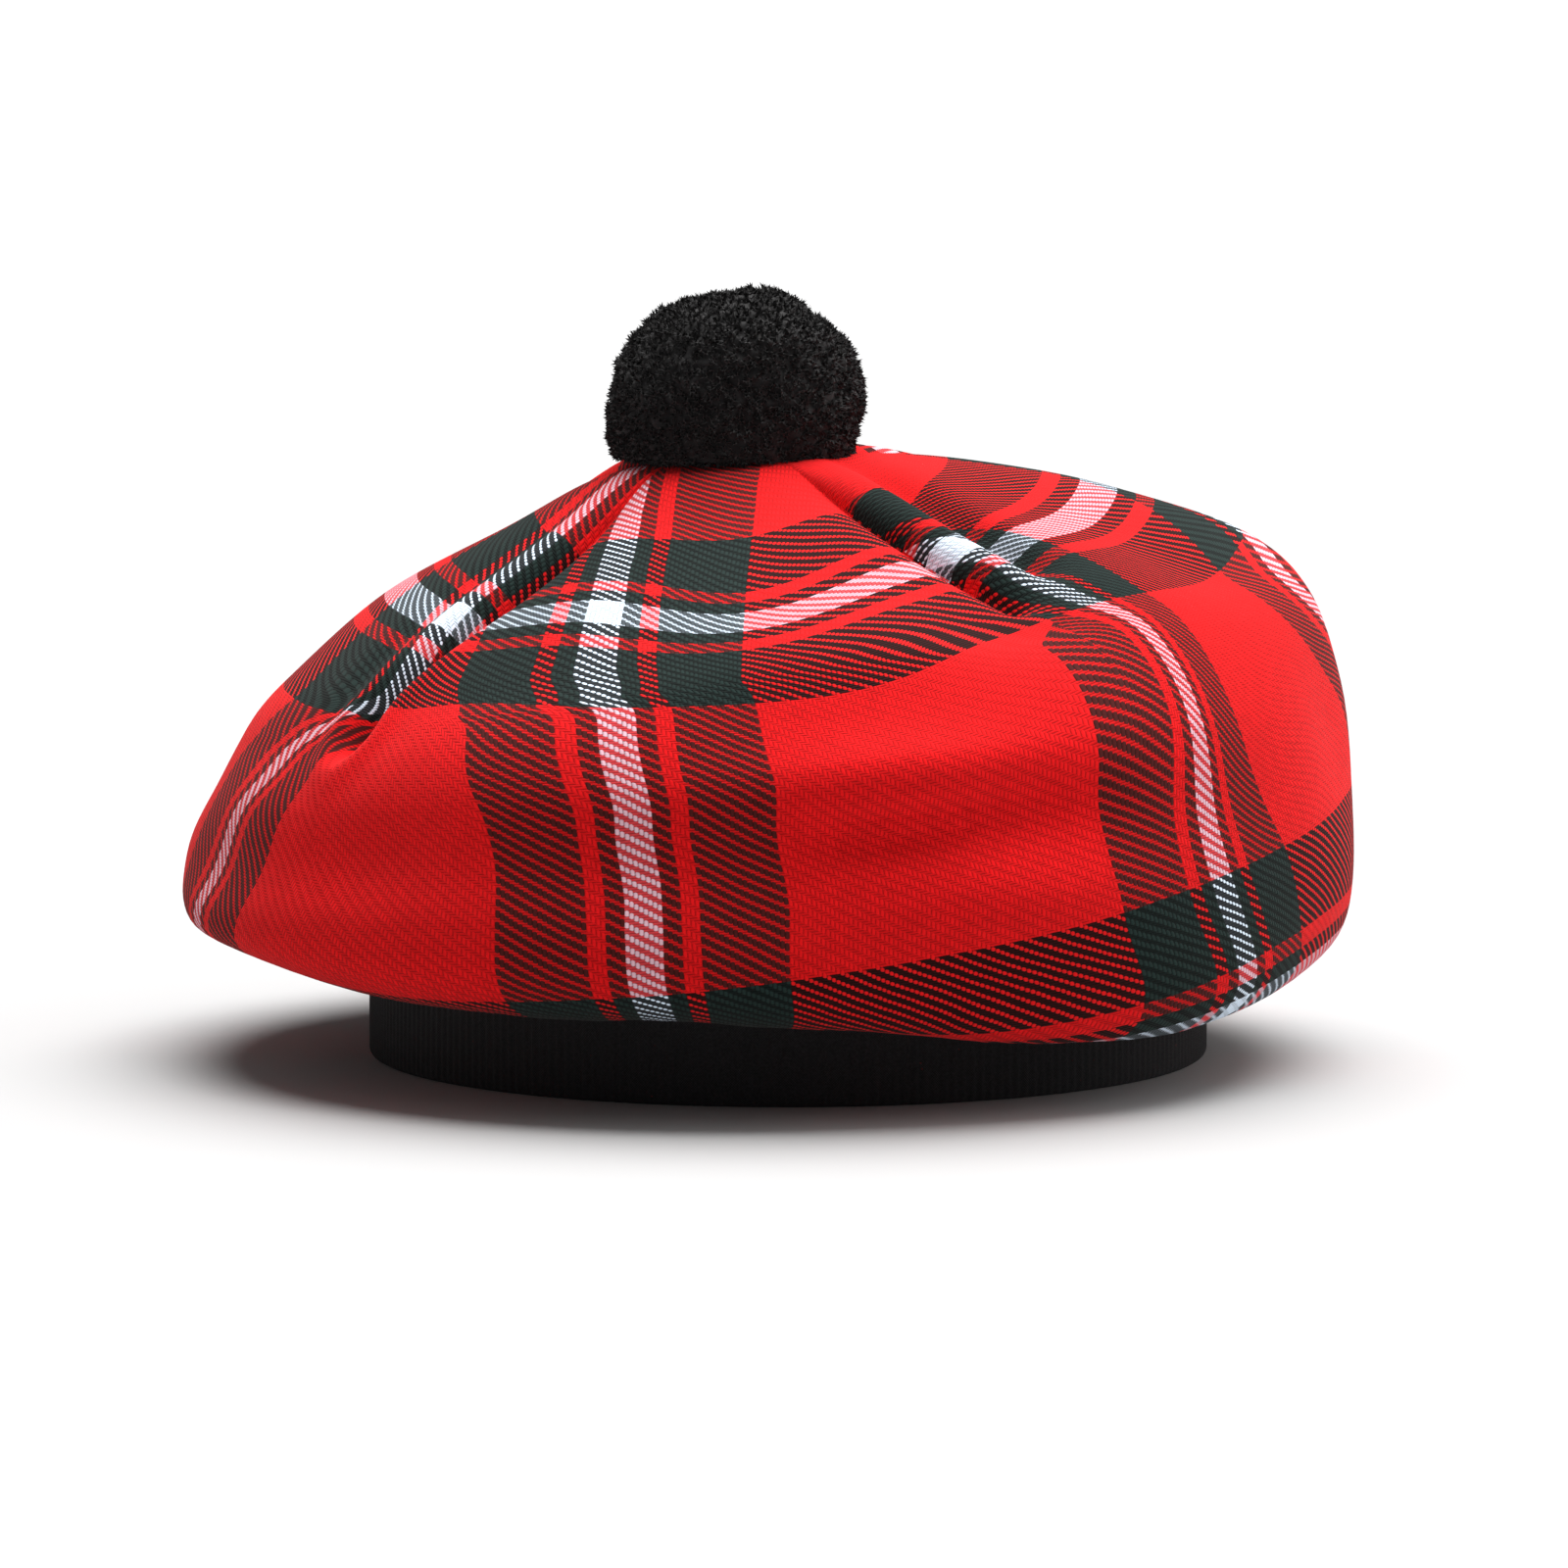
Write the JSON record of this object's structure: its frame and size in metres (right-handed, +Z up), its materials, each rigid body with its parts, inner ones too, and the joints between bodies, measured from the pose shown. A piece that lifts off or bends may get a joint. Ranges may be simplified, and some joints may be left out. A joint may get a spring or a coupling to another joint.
{
  "type": "tam o' shanter",
  "caption": "Soft round tartan hat with a puffed crown drawn in by tucks, a plain black headband and a wool pompom.",
  "frame": {"origin": "middle of the hat's own box, on the surface that the headband rests on", "axes": "+Z up through the pompom, the hat's front faces -Y, +X to the right in the front view"},
  "size_m": [0.2608, 0.2682, 0.1715],
  "materials": {
    "tartan_cloth": "matte twill",
    "black_band": "matte ribbed",
    "black_wool": "matte pile"
  },
  "bodies": {
    "root": {"crown": "tartan_cloth", "headband": "black_band", "pompom": "black_wool"}
  },
  "joints": []
}
